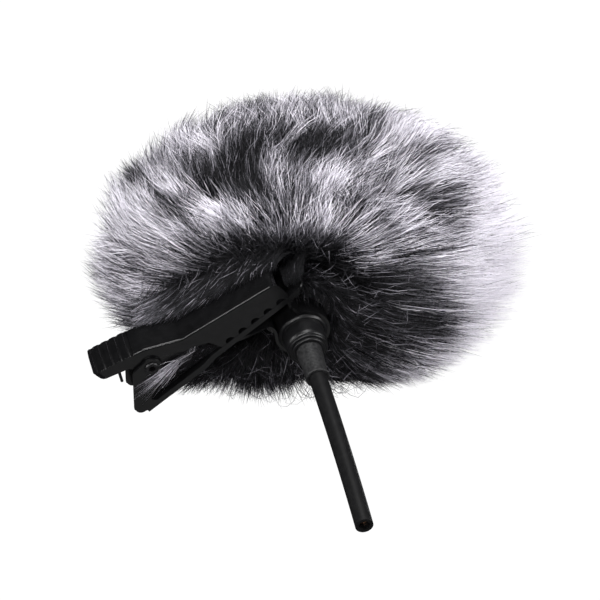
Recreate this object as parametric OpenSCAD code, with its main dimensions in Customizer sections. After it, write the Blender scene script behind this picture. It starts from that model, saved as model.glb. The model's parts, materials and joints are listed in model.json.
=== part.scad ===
// Lavalier microphone on a sprung clip, with its cable and a furry windscreen.
// The microphone's axis runs along Z, head up. The clip lies along X, its jaws closing along Y;
// its thumb pad is at -X. The pieces are drawn about the mic axis, and the last block shifts
// them so that the gripping face of the lower jaw lies at y = 0. The upper jaw is on its -Y side.

/* [Clip] */
// Width of the sprung clip across its two side flanges
clip_w = 5.8; // [5:0.1:7]
// Thickness of the stamped clip sheet
sheet_t = 0.5; // [0.4:0.05:0.6]
// Distance from the mic axis to the gripping face of the lower jaw
jaw_y = 9.0; // [8.8:0.1:9.4]
// Length of the lower jaw behind the mic axis
jaw_back = 27.1; // [26:0.1:28]
// Length of the lower jaw in front of the mic axis
jaw_front = 6.9; // [6:0.1:8]
// Height of the turned side rims of the lower jaw
rim_h = 0.5; // [0.3:0.05:0.6]
// Distance between two teeth of the upper jaw
tooth_pitch = 2.62; // [2.4:0.02:2.7]
// Radius of the round notch between two teeth
notch_r = 0.8; // [0.6:0.05:0.9]
// Number of grip grooves on the thumb pad
groove_count = 5; // [4:1:5]

/* [Pivot] */
// Outer radius of the hollow pivot rivet
pin_r = 0.8; // [0.7:0.02:0.9]
// Bore radius of the hollow pivot rivet
pin_bore_r = 0.55; // [0.4:0.05:0.6]
// Radius of the rolled rivet heads
pin_head_r = 1.22; // [1.1:0.02:1.4]
// Running clearance of the upper jaw on the rivet
pin_clear = 0.05; // [0.03:0.01:0.09]
// Wire diameter of the torsion spring
wire_d = 0.5; // [0.4:0.05:0.55]
// Number of close wound turns of the torsion spring
turns = 5; // [3:1:6]

/* [Microphone] */
// Outer radius of the microphone housing
mic_r = 3.95; // [3.8:0.05:4.1]
// Height of the housing tube above the ring centre
mic_top = 15.0; // [14.6:0.1:16]
// Running clearance between the housing and the ring of the clip
ring_clear = 0.05; // [0.03:0.01:0.09]
// Width of the ring band along the mic axis
ring_w = 3.2; // [2.4:0.1:3.6]
// Radius of the collar at the rear of the microphone
collar_r = 3.15; // [3.0:0.05:3.2]

/* [Cable] */
// Outer radius of the cable jacket
cable_r = 1.45; // [1.3:0.05:1.45]
// Distance from the mic axis origin to the cut end of the cable
cable_end = 45.8; // [35:0.1:90]
// Length of the strain relief below the collar
relief_len = 6.3; // [5:0.1:6.6]

/* [Windscreen] */
// Half length of the furry cover along its long axis
fur_a = 33; // [28:0.5:35]
// Half width of the furry cover
fur_b = 25; // [22:0.5:27]
// Half height of the furry cover
fur_c = 19.5; // [18:0.1:19.6]
// Half length of the knitted backing
back_a = 22.5; // [18:0.5:24]
// Half width of the knitted backing
back_b = 15.5; // [14:0.5:17]
// Half height of the knitted backing
back_c = 13.5; // [12:0.5:14]
// Thickness of the knitted backing
back_t = 0.9; // [0.5:0.1:1.2]

/* [Hidden] */
$fn = 64;
gap = 0.02; // clearance between fitted pieces

// colours shared by several pieces
clip_black = [0.05, 0.05, 0.055];
jacket_black = [0.03, 0.03, 0.035];
shield_copper = [0.75, 0.5, 0.35];
wire_copper = [0.85, 0.45, 0.25];
insulation_white = [0.85, 0.85, 0.85];
knit_black = [0.1, 0.1, 0.11];

// ---------------------------------------------------------------- helpers
// a flat sheet below height y, its plan drawn in X and Z
module plan_sheet(y, t) {
  translate([0, y, 0]) rotate([90, 0, 0]) linear_extrude(t) children();
}
// a sheet along the clip from z upwards, its outline drawn in X and Y; by default clip wide
module side_sheet(z = -half_w, t = clip_w) {
  translate([0, 0, z]) linear_extrude(t) children();
}
module tube(outer_r, inner_r, z0, z1) {
  translate([0, 0, z0]) difference() {
    cylinder(r = outer_r, h = z1 - z0);
    translate([0, 0, -1]) cylinder(r = inner_r, h = z1 - z0 + 2);
  }
}
module disc(r, z0, z1) {
  translate([0, 0, z0]) cylinder(r = r, h = z1 - z0);
}
// a round rod between two points
module rod(from, to, r) {
  run = to - from;
  length = norm(run);
  translate(from) rotate([0, acos(run.z / length), atan2(run.y, run.x)])
    cylinder(r = r, h = length, $fn = 24);
}
// a closed outline from its positive half, mirrored in the second coordinate
function mirrored(half) = concat(
  [for (p = half) [p.x, -p.y]],
  [for (i = [len(half) - 1 : -1 : 0]) half[i]]);
function polar(r, angle) = r * [cos(angle), sin(angle)];
function unit(v) = v / norm(v);
// point and direction at t on a quadratic Bezier curve
function curve(start, ctrl, end, t) =
  (1 - t) * (1 - t) * start + 2 * t * (1 - t) * ctrl + t * t * end;
function curve_dir(start, ctrl, end, t) =
  unit(2 * (1 - t) * (ctrl - start) + 2 * t * (end - ctrl));
// a sheet thick band on the curve's right (side = -1) or left (side = 1)
function band(start, ctrl, end, side, steps) = concat(
  [for (i = [0 : steps]) curve(start, ctrl, end, i / steps)],
  [for (i = [steps : -1 : 0]) let (dir = curve_dir(start, ctrl, end, i / steps))
    curve(start, ctrl, end, i / steps) + side * sheet_t * [-dir.y, dir.x]]);

// ---------------------------------------------------------------- clip
half_w = clip_w / 2;
ear_in = half_w + 0.06;    // inner face of the ears, outside the upper jaw's flanges
ear_out = ear_in + sheet_t;
pivot = [-19.8, -15.0];
jaw_top = -jaw_y + sheet_t; // face of the lower jaw towards the microphone
flare_start = -12;         // the lower jaw widens to the ears from here
flare_end = -14;
corner_r = 1.2;            // plan corners of the lower jaw

// ear outlines and lever outlines: [x, y]
ear_outline = [
  [-22.9, -16.0], [-22.1, -16.45], [-20.6, -16.55], [-18.2, -14.3], [-19.1, -12.9], [-23.9, -10.1],
  [-24.2, -9.6], [-23.4, -8.75], [-26.4, -8.75], [-27.3, -9.5], [-27.4, -10.2]];
// outer edge from the thumb pad to the nose, shared by the lever's plate and flanges
lever_edge = [
  [-26.9, -20.8], [-18.7, -18.7], [-13.1, -15.5], [3.3, -13.05], [3.85, -12.8], [4.1, -12.25]];
pad_tip = [-27.35, -20.2];
// the rest of each outline, back from the nose
plate_inside = [
  [3.6, -12.1], [3.45, -12.4], [3.15, -12.55], [-13.26, -15.0], [-18.88, -18.22],
  [-26.78, -20.24], [-26.85, -19.4], [-27.3, -19.4], pad_tip];
flange_inside = [
  [4.1, -9.35], [3.8, -9.06], [-9.75, -9.06], [-10.05, -9.5], [-10.35, -10.7], [-10.7, -11.5],
  [-11.4, -11.9], [-13.1, -12.9], [-18.0, -13.2], [-19.6, -13.3], [-21.5, -15.6], [-22.6, -17.3],
  [-26.7, -18.7], [-27.3, -19.2], pad_tip];
first_tooth_x = -9.4;
notch_y = -9.0;
notch_count = 5;
groove_x = -26.1;
groove_pitch = 1.4;
groove_r = 0.5;
groove_lift = 0.34;        // groove centres lie this far outside the pad's surface
pad_corner_r = 1.3;

module jaw_plan() {
  union() {
    translate([flare_start, -half_w]) square([jaw_front - corner_r - flare_start, clip_w]);
    translate([flare_start, -half_w + corner_r])
      square([jaw_front - flare_start, clip_w - 2 * corner_r]);
    polygon(mirrored([[flare_end, ear_out], [flare_start, half_w], [flare_start + 0.1, half_w]]));
    translate([-jaw_back + corner_r, -ear_out])
      square([jaw_back - corner_r + flare_end, 2 * ear_out]);
    translate([-jaw_back, -ear_out + corner_r])
      square([jaw_back + flare_end + 1, 2 * (ear_out - corner_r)]);
    for (corner = [[jaw_front - corner_r, half_w - corner_r],
                   [-jaw_back + corner_r, ear_out - corner_r]], side = [-1, 1])
      translate([corner.x, side * corner.y]) circle(r = corner_r);
  }
}
module lower_jaw() {
  rim_front = jaw_front - 1.3;
  rim_back = 1 - jaw_back;
  // plan of one rim: [x, z]
  rim_plan = [
    [rim_front, half_w], [flare_start, half_w], [flare_end, ear_out], [rim_back, ear_out],
    [rim_back, ear_in], [flare_end - 0.1, ear_in], [flare_start - 0.1, half_w - sheet_t],
    [rim_front, half_w - sheet_t]];
  color(clip_black) difference() {
    union() {
      plan_sheet(jaw_top, sheet_t) jaw_plan();
      // side rims turned away from the grip
      for (side = [-1, 1]) plan_sheet(jaw_top + rim_h, rim_h + 0.1)
        polygon([for (p = rim_plan) [p.x, side * p.y]]);
      // ears that carry the rivet
      for (z = [-ear_out, ear_in]) side_sheet(z, sheet_t) union() {
        translate(pivot) circle(r = 1.75);
        polygon(ear_outline);
        translate([-26.4, -9.6]) circle(r = 1.0);
      }
    }
    translate([pivot.x, pivot.y, -5]) cylinder(r = pin_r + gap, h = 10);
  }
}

// an open ring on a rear leg and a front leg, which stand on the lower jaw
module mic_ring() {
  ring_ri = mic_r + ring_clear;
  ring_ro = ring_ri + sheet_t;
  foot_z = half_w - sheet_t - 0.05;   // half width of the feet, between the rims
  foot_top = jaw_top + rim_h + 0.05;  // above this the legs are as wide as the clip
  rear_root = polar(ring_ro, 216.87);
  front_root = polar(ring_ro, -58);
  front_knee = [2.45, -5.4];
  // half of the band's width along its height: [y, z]
  half_widths = [
    [jaw_top, foot_z], [foot_top, foot_z], [foot_top, half_w], [-7.3, half_w],
    [-5.2, ring_w / 2], [6, ring_w / 2]];
  color(clip_black) intersection() {
    union() {
      difference() {
        translate([0, 0, -half_w]) cylinder(r = ring_ro, h = clip_w);
        translate([0, 0, -half_w - 1]) cylinder(r = ring_ri, h = clip_w + 2);
        // opening between the legs
        side_sheet(-half_w - 1, clip_w + 2)
          polygon([[0, 0], polar(9, 221), [0, -12], polar(9, -62)]);
      }
      side_sheet() polygon(band([-7.8, -8.05], rear_root - 4 * [-0.6, 0.8], rear_root, -1, 12));
      side_sheet() polygon(band([3.7, -8.05], [2.55, -7.0], front_knee, 1, 10));
      side_sheet() polygon(band(front_knee, [2.42, -4.7], front_root + [0.12, 0.05], 1, 8));
      // feet: [x, length]
      for (foot = [[-8.2, 2.0], [3.0, 2.6]])
        translate([foot[0], jaw_top, -half_w]) cube([foot[1], 0.45, clip_w]);
    }
    translate([-12, 0, 0]) rotate([90, 0, 90]) linear_extrude(24) polygon(mirrored(half_widths));
  }
}

module pivot_rivet() {
  head_t = 0.3;
  color([0.09, 0.09, 0.1]) translate([pivot.x, pivot.y, 0]) difference() {
    union() {
      translate([0, 0, -ear_out - head_t]) cylinder(r = pin_r, h = 2 * (ear_out + head_t));
      for (turn = [0, 180]) rotate([turn, 0, 0]) translate([0, 0, ear_out + 0.04])
        cylinder(r1 = pin_head_r, r2 = pin_head_r - 0.18, h = head_t);
    }
    translate([0, 0, -6]) cylinder(r = pin_bore_r, h = 12);
  }
}

// a leg in the plane at z, with its hooked end beyond the bend
module spring_leg(z, start, bend, tip) {
  translate([0, 0, z]) {
    rod(start, bend, wire_d / 2);
    translate(bend) sphere(r = wire_d * 0.55, $fn = 24);
    rod(bend, tip, wire_d * 0.46);
  }
}
module torsion_spring() {
  pitch = wire_d * 0.96;
  coil_w = (turns + 1) * pitch;
  coil_r = pin_r + 0.14 + wire_d / 2;
  inner_r = coil_r - wire_d / 2;
  // outer face of one turn: [wire diameters outwards, pitches along]
  ridge = [[0.3, 1], [0.5, 0.7], [0.5, 0.3], [0.3, 0.02]];
  color([0.32, 0.32, 0.34]) union() {
    translate([pivot.x, pivot.y, 0]) rotate_extrude($fn = 48)
      polygon(concat([[inner_r, -coil_w / 2], [inner_r, coil_w / 2]],
        [for (i = [turns : -1 : 0], p = ridge)
          [coil_r + wire_d * p.x, -coil_w / 2 + (i + p.y) * pitch]]));
    // leg pressed against the underside of the thumb pad
    spring_leg(-1.15, [-20.75, -15.95, 0], [-23.3, -18.7, 0], [-25.6, -14.9, 0]);
    // leg pressed against the lower jaw
    spring_leg(1.15, [-20.85, -14.5, 0], [-24.4, -9.6, 0], [-25.6, -9.32, 0]);
  }
}

module lever_flange() {
  difference() {
    union() {
      polygon(concat(lever_edge, flange_inside));
      translate(pivot) circle(r = 1.95);
    }
    for (i = [0 : notch_count - 1])
      translate([first_tooth_x + tooth_pitch * (i + 0.5), notch_y]) circle(r = notch_r, $fn = 32);
    translate(pivot) circle(r = pin_r + pin_clear);
  }
}
module upper_jaw_lever() {
  pad_start = lever_edge[0];
  pad_run = lever_edge[1] - pad_start;
  color(clip_black) difference() {
    union() {
      side_sheet() polygon(concat(lever_edge, plate_inside));
      for (z = [-half_w, half_w - sheet_t]) side_sheet(z, sheet_t) lever_flange();
    }
    // grip grooves across the thumb pad
    for (i = [0 : groove_count - 1])
      let (x = groove_x + i * groove_pitch,
           y = pad_start.y + (x - pad_start.x) * pad_run.y / pad_run.x - groove_lift)
        translate([x, y, -half_w - 1]) cylinder(r = groove_r, h = clip_w + 2, $fn = 24);
    // rounded corners of the thumb pad, seen along Y
    for (side = [-1, 1])
      translate([pad_tip.x + pad_corner_r, 0, side * (half_w - pad_corner_r)]) rotate([90, 0, 0])
        difference() {
          translate([-2, side > 0 ? 0 : -2, -5]) cube([2, 2, 35]);
          translate([0, 0, -6]) cylinder(r = pad_corner_r, h = 37);
        }
  }
}

// ---------------------------------------------------------------- microphone body
// turned outlines are lists of [radius, z]
house_ri = mic_r - 0.5;
plug_r = house_ri - 0.03;  // pieces pushed into the housing
cap_z = -6.1;              // lowest face of the collar
relief_z = cap_z - relief_len;
seal_z = -1.36;
grille_bore_r = 3.0;

module mic_housing() {
  color([0.04, 0.04, 0.045]) rotate_extrude() polygon([
    [house_ri, -2.1], [mic_r - 0.3, -2.1], [mic_r, -1.75], [mic_r, mic_top], [house_ri, mic_top]]);
}
module rear_cap() {
  bead_r = collar_r - 0.12;
  skirt_r = collar_r + 0.2;
  groove_r = 3.04;
  color([0.07, 0.07, 0.075]) rotate_extrude() polygon([
    [2.1, cap_z], [2.55, cap_z], [2.65, -6.0], [2.65, -5.72], [bead_r, -5.72],
    [collar_r, -5.6], [collar_r, -5.32], [bead_r, -5.2], [bead_r, -5.05], [collar_r, -4.95],
    [skirt_r, -4.4], [skirt_r, -2.12], [plug_r, -2.12], [plug_r, seal_z - 0.26],
    [groove_r, seal_z - 0.26], [groove_r, seal_z + 0.26], [plug_r, seal_z + 0.26],
    [plug_r, -0.4], [2.85, -0.4], [2.85, -4.65], [2.1, -4.65]]);
}
module cap_seal_ring() {
  color([0.1, 0.1, 0.1]) translate([0, 0, seal_z])
    rotate_extrude() translate([3.24, 0]) circle(r = 0.18, $fn = 24);
}
module strain_relief() {
  bore_r = 1.48;
  color([0.08, 0.08, 0.085]) rotate_extrude() polygon([
    [bore_r, relief_z], [1.85, relief_z], [1.97, relief_z + 0.12], [1.97, relief_z + 0.4],
    [1.78, relief_z + 0.55], [2.05, -6.5], [2.05, -4.6], [2.75, -4.6], [2.75, -3.9],
    [bore_r, -3.9]]);
}
module grille_hole() {
  translate([0, 0, mic_top + 1]) cylinder(r = 0.45, h = 3);
}
module head_grille() {
  skirt_r = house_ri - gap;
  color([0.15, 0.15, 0.16]) difference() {
    rotate_extrude() polygon([
      [0, mic_top + 1.8], [grille_bore_r, mic_top + 1.8], [grille_bore_r, mic_top - 1.2],
      [skirt_r, mic_top - 1.2], [skirt_r, mic_top + gap], [mic_r, mic_top + gap],
      [mic_r, mic_top + 1.9], [mic_r - 0.5, mic_top + 2.4], [0, mic_top + 2.4]]);
    grille_hole();
    for (angle = [0 : 60 : 300]) rotate(angle) translate([1.6, 0, 0]) grille_hole();
  }
}
module grille_mesh() {
  color([0.5, 0.5, 0.52]) disc(grille_bore_r - 0.05, mic_top + 1.58, mic_top + 1.74);
}
module felt_disc() {
  color([0.12, 0.12, 0.12]) disc(2.7, can_top + gap, 13.84);
}

// ---------------------------------------------------------------- capsule
stack_r = 2.6;             // pieces stacked inside the can
can_top = 13.6;
// heights of the stack, from the board up
board_z = 10.03;
board_top = 10.6;
holder_z = board_top + 0.03;
holder_top = 12.43;
plate_z = holder_top + gap;
plate_top = plate_z + 0.3;
spacer_z = plate_top + gap;
spacer_top = spacer_z + 0.12;
film_z = spacer_top + gap;
film_top = film_z + 0.05;
diaphragm_z = film_top + gap;
pad_x = 1.0;               // solder pads, one each side of the axis
pad_z = 9.72;
wire_top = pad_z - gap;

module capsule_boot() {
  color([0.1, 0.1, 0.11]) rotate_extrude() polygon([
    [2.5, 9.2], [plug_r, 9.2], [plug_r, can_top], [2.93, can_top], [2.93, 9.6], [2.5, 9.6]]);
}
module capsule_can() {
  color([0.8, 0.8, 0.82]) rotate_extrude() polygon([
    [1.0, 13.3], [1.0, can_top], [2.8, can_top], [2.9, 13.5], [2.9, 9.8], [2.3, 9.8],
    [2.3, 10.0], [2.65, 10.0], [2.65, 13.3]]);
}
module diaphragm_ring() {
  color([0.85, 0.75, 0.4]) tube(stack_r, 2.1, diaphragm_z, diaphragm_z + 0.28);
}
module diaphragm_film() {
  color([0.9, 0.85, 0.6]) disc(stack_r, film_z, film_top);
}
module gap_spacer() {
  color([0.9, 0.9, 0.85]) tube(stack_r, 2.2, spacer_z, spacer_top);
}
module back_plate() {
  color([0.8, 0.7, 0.35]) difference() {
    disc(2.55, plate_z, plate_top);
    for (angle = [45 : 90 : 315])
      rotate(angle) translate([1.2, 0, 12]) cylinder(r = 0.25, h = 1, $fn = 24);
  }
}
module plate_holder() {
  color([0.9, 0.9, 0.88]) tube(stack_r, 1.95, holder_z, holder_top);
}
module contact_ring() {
  color([0.8, 0.5, 0.3]) tube(1.9, 1.65, holder_z, holder_top);
}
module amplifier_chip() {
  color([0.1, 0.1, 0.1]) translate([-0.75, -0.5, holder_z]) cube([1.5, 1.0, 0.6]);
}
module capsule_board() {
  color([0.1, 0.35, 0.2]) disc(stack_r, board_z, board_top);
}
module solder_pads() {
  color([0.75, 0.75, 0.78]) for (side = [-1, 1])
    translate([side * pad_x, 0, pad_z]) cylinder(r1 = 0.28, r2 = 0.5, h = 0.29);
}

// ---------------------------------------------------------------- cable
jacket_bore_r = 0.9;
shield_r = 0.86;
shield_bore_r = 0.5;
insulation_r = 0.45;
insulation_bore_r = 0.2;
wire_r = 0.18;
cable_z = relief_z + 0.2;  // lower end of the cable inside the strain relief
tail_z = relief_z - 1.0;   // upper end of the separate tail of cable

module signal_wire() {
  low_bend = [0, 0, 1.4];
  high_bend = [pad_x, 0, 3.4];
  color(wire_copper) union() {
    disc(wire_r, cable_z, low_bend.z, $fn = 24);
    rod(low_bend, high_bend, 0.16);
    for (bend = [low_bend, high_bend]) translate(bend) sphere(r = 0.21, $fn = 24);
    translate([pad_x, 0, 0]) disc(wire_r, high_bend.z, wire_top, $fn = 24);
  }
}
module ground_wire() {
  start_z = 0.4;
  color([0.8, 0.8, 0.8]) translate([-pad_x, 0, 0]) union() {
    translate([0, 0, start_z]) sphere(r = 0.2, $fn = 24);
    disc(0.2, start_z, wire_top, $fn = 24);
  }
}
module crimp_ring() {
  color([0.8, 0.65, 0.3]) tube(2.1, cable_r + 0.03, -3.7, -2.3);
}
module cable_jacket() {
  color(jacket_black) tube(cable_r, jacket_bore_r, cable_z, -1.2);
}
module cable_shield() {
  color(shield_copper) tube(shield_r, shield_bore_r, cable_z, 0.1);
}
module cable_insulation() {
  color(insulation_white) tube(insulation_r, insulation_bore_r, cable_z, 0.9);
}
module tail_jacket() {
  color(jacket_black) tube(cable_r, jacket_bore_r, -cable_end, tail_z);
}
module tail_shield() {
  color(shield_copper) tube(shield_r, shield_bore_r, -cable_end, tail_z);
}
module tail_insulation() {
  color(insulation_white) tube(insulation_r, insulation_bore_r, -cable_end, tail_z);
}
module tail_wire() {
  color(wire_copper) disc(wire_r, -cable_end, tail_z);
}

// ---------------------------------------------------------------- windscreen
cover_centre = [1.1, 5.0, 23.2];
backing_centre = [1.1, 4.0, 24.0];
cover_turn = 38.8;         // angle of the long axis about the mic axis
neck_r = 6.0;
neck_bore_r = 5.1;
hem_r = 4.86;              // centre line of the hem and its elastic
hem_z = 4.3;

module egg(centre, half_size) {
  translate(centre) rotate([0, 0, cover_turn]) scale(half_size) sphere(r = 1);
}
// the backing's shape, grown by a distance on each half axis
module backing_egg(grow = 0) {
  egg(backing_centre, [back_a + grow, back_b + grow, back_c + grow]);
}
module fur_pile() {
  color([0.7, 0.69, 0.74]) difference() {
    egg(cover_centre, [fur_a, fur_b, fur_c]);
    backing_egg(0.05);
    cylinder(r = neck_r + 0.05, h = 20);
  }
}
module fabric_backing() {
  color(knit_black) difference() {
    union() {
      backing_egg();
      translate([0, 0, 5.2]) cylinder(r = neck_r, h = 12);
    }
    backing_egg(-back_t);
    translate([0, 0, 4]) cylinder(r = neck_bore_r, h = 12);
  }
}
module neck_hem() {
  color(knit_black) translate([0, 0, hem_z]) rotate_extrude() difference() {
    translate([hem_r, 0]) circle(r = 0.85, $fn = 32);
    translate([hem_r, 0]) circle(r = 0.5, $fn = 32);
  }
}
module neck_elastic() {
  color([0.2, 0.2, 0.2]) translate([0, 0, hem_z])
    rotate_extrude() translate([hem_r, 0]) circle(r = 0.45, $fn = 32);
}
module foam_liner() {
  color([0.16, 0.16, 0.17]) difference() {
    union() {
      backing_egg(-back_t - 0.1);
      translate([0, 0, 5.6]) cylinder(r = neck_bore_r - 0.1, h = 12);
    }
    cylinder(r = mic_r + 0.07, h = mic_top + 3.4);
  }
}

// the gripping face of the lower jaw is brought to y = 0
translate([0, jaw_y, 0]) {
  lower_jaw();
  mic_ring();
  pivot_rivet();
  torsion_spring();
  upper_jaw_lever();
  mic_housing();
  rear_cap();
  cap_seal_ring();
  strain_relief();
  head_grille();
  grille_mesh();
  felt_disc();
  capsule_boot();
  capsule_can();
  diaphragm_ring();
  diaphragm_film();
  gap_spacer();
  back_plate();
  plate_holder();
  contact_ring();
  amplifier_chip();
  capsule_board();
  solder_pads();
  signal_wire();
  ground_wire();
  crimp_ring();
  cable_jacket();
  cable_shield();
  cable_insulation();
  tail_jacket();
  tail_shield();
  tail_insulation();
  tail_wire();
  fur_pile();
  fabric_backing();
  neck_hem();
  neck_elastic();
  foam_liner();
}
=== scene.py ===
import bpy, bmesh, json, math
import numpy as np
from mathutils import Vector, Matrix


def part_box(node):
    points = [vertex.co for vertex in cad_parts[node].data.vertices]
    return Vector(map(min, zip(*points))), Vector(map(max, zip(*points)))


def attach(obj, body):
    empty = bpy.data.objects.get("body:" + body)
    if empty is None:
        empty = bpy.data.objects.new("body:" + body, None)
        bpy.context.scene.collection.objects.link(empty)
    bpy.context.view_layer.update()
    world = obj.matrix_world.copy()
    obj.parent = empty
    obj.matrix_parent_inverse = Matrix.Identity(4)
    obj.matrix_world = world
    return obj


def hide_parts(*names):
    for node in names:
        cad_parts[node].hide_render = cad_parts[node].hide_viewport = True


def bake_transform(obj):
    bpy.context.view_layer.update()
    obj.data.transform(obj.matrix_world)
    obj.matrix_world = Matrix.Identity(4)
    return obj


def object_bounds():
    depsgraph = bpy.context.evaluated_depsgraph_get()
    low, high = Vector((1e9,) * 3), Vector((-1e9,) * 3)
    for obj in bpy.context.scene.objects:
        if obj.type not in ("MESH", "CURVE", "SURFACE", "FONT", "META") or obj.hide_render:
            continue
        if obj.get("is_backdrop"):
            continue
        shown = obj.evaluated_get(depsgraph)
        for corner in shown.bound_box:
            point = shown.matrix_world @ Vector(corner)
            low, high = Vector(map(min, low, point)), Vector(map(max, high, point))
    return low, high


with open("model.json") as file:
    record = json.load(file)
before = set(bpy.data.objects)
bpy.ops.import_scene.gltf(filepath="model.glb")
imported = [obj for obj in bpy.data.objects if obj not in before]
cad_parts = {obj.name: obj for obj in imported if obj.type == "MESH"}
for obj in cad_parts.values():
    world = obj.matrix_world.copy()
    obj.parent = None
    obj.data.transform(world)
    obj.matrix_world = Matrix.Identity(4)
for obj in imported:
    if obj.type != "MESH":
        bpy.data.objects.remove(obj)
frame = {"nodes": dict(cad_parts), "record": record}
CAD_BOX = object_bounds()
MM = 0.001
RNG = np.random.default_rng(20261)
N = frame["nodes"]
_lo, _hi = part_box("mic_housing")
AX = np.array([(_lo.x + _hi.x) / 2, (_lo.y + _hi.y) / 2, 0.0])      # the microphone's axis, where the lengths below start from

# viewing basis: right, up and towards the viewer, in the row frame
VR = np.array([0.759, 0.611, -0.224]); VR /= np.linalg.norm(VR)
VB = np.array([0.298, -0.633, -0.714]); VB -= VR * (VB @ VR); VB /= np.linalg.norm(VB)
VU = np.cross(VB, VR)
PLANE = 6.31          # picture scale at the clip


# ------------------------------------------------------------------ materials
def new_mat(name):
    m = bpy.data.materials.new(name)
    m.use_nodes = True
    nt = m.node_tree
    bsdf = nt.nodes["Principled BSDF"]
    return m, nt, bsdf


def node(nt, kind, **kw):
    n = nt.nodes.new(kind)
    for k, v in kw.items():
        if k in n.inputs:
            n.inputs[k].default_value = v
        else:
            setattr(n, k, v)
    return n


def ramp(nt, fac, stops):
    r = nt.nodes.new("ShaderNodeValToRGB")
    e = r.color_ramp.elements
    while len(e) < len(stops):
        e.new(0.5)
    for el, (p, c) in zip(e, stops):
        el.position = p
        el.color = (c[0], c[1], c[2], 1)
    nt.links.new(fac, r.inputs["Fac"])
    return r.outputs["Color"]


def coords(nt):
    return nt.nodes.new("ShaderNodeTexCoord").outputs["Object"]


def noise(nt, vec, scale, detail=3.0, rough=0.5):
    n = node(nt, "ShaderNodeTexNoise")
    n.inputs["Scale"].default_value = scale
    n.inputs["Detail"].default_value = detail
    n.inputs["Roughness"].default_value = rough
    nt.links.new(vec, n.inputs["Vector"])
    return n.outputs["Fac"]


def bump(nt, bsdf, height, strength, dist):
    b = nt.nodes.new("ShaderNodeBump")
    b.inputs["Strength"].default_value = strength
    b.inputs["Distance"].default_value = dist
    nt.links.new(height, b.inputs["Height"])
    nt.links.new(b.outputs["Normal"], bsdf.inputs["Normal"])
    return b


def surface(name, dark, light, rough, metal=0.0, scale=900.0, bump_s=0.25, bump_d=0.00003, coat=0.0, rough_var=0.12, spec=0.5, fine=5200.0):
    """A finish whose colour and gloss both vary, with a fine relief of its own."""
    m, nt, b = new_mat(name)
    v = coords(nt)
    f = noise(nt, v, scale)
    nt.links.new(ramp(nt, f, [(0.3, dark), (0.7, light)]), b.inputs["Base Color"])
    mr = node(nt, "ShaderNodeMapRange")
    mr.inputs["To Min"].default_value = rough - rough_var
    mr.inputs["To Max"].default_value = rough + rough_var
    nt.links.new(noise(nt, v, scale * 2.3), mr.inputs["Value"])
    nt.links.new(mr.outputs["Result"], b.inputs["Roughness"])
    b.inputs["Metallic"].default_value = metal
    b.inputs["Specular IOR Level"].default_value = spec
    b.inputs["Coat Weight"].default_value = coat
    b.inputs["Coat Roughness"].default_value = 0.12
    bump(nt, b, noise(nt, v, fine, 2.0), bump_s, bump_d)
    return m


def knit(name, dark, light, pitch):
    """A fine knitted cloth: two crossed waves for the loops."""
    m, nt, b = new_mat(name)
    v = coords(nt)
    outs = []
    for axis in ("X", "Z"):
        w = node(nt, "ShaderNodeTexWave", bands_direction=axis)
        w.inputs["Scale"].default_value = 1.0 / pitch / 2
        w.inputs["Distortion"].default_value = 1.2
        nt.links.new(v, w.inputs["Vector"])
        outs.append(w.outputs["Fac"])
    mul = node(nt, "ShaderNodeMath", operation="MULTIPLY")
    nt.links.new(outs[0], mul.inputs[0])
    nt.links.new(outs[1], mul.inputs[1])
    nt.links.new(ramp(nt, mul.outputs[0], [(0.05, dark), (0.8, light)]), b.inputs["Base Color"])
    b.inputs["Roughness"].default_value = 0.9
    b.inputs["Sheen Weight"].default_value = 0.3
    bump(nt, b, mul.outputs[0], 0.6, 0.0001)
    return m


def fur_material():
    m, nt, b = new_mat("long_pile_fibre")
    uv = node(nt, "ShaderNodeUVMap", uv_map="OFBake")
    sp = node(nt, "ShaderNodeSeparateXYZ")
    nt.links.new(uv.outputs["UV"], sp.inputs[0])
    tip = ramp(nt, sp.outputs["X"], [(0.0, (0.0075, 0.0075, 0.0085)), (0.22, (0.020, 0.020, 0.023)), (0.42, (0.11, 0.107, 0.122)),
                                   (0.62, (0.36, 0.345, 0.39)), (0.82, (0.64, 0.615, 0.68)), (1.0, (0.88, 0.85, 0.92))])
    # root colour, mixed into the tip colour along the fibre (v): far darker than the tip except for the whitest tones,
    # partly the fibres' own darker roots and partly painted shade deep in the pile
    root = ramp(nt, sp.outputs["X"], [(0.0, (0.0030, 0.0030, 0.0036)), (0.35, (0.004, 0.004, 0.005)), (0.65, (0.018, 0.018, 0.021)), (0.85, (0.10, 0.097, 0.108)), (1.0, (0.62, 0.60, 0.65))])
    mr = node(nt, "ShaderNodeMapRange", interpolation_type="SMOOTHSTEP")
    mr.inputs["From Min"].default_value = 0.30
    mr.inputs["From Max"].default_value = 0.80
    nt.links.new(sp.outputs["Y"], mr.inputs["Value"])
    mix = node(nt, "ShaderNodeMix", data_type="RGBA")
    nt.links.new(mr.outputs["Result"], mix.inputs["Factor"])
    nt.links.new(root, mix.inputs[6])
    nt.links.new(tip, mix.inputs[7])
    nt.links.new(mix.outputs[2], b.inputs["Base Color"])
    b.inputs["Roughness"].default_value = 0.55
    b.inputs["Specular IOR Level"].default_value = 0.12
    return m


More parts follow.
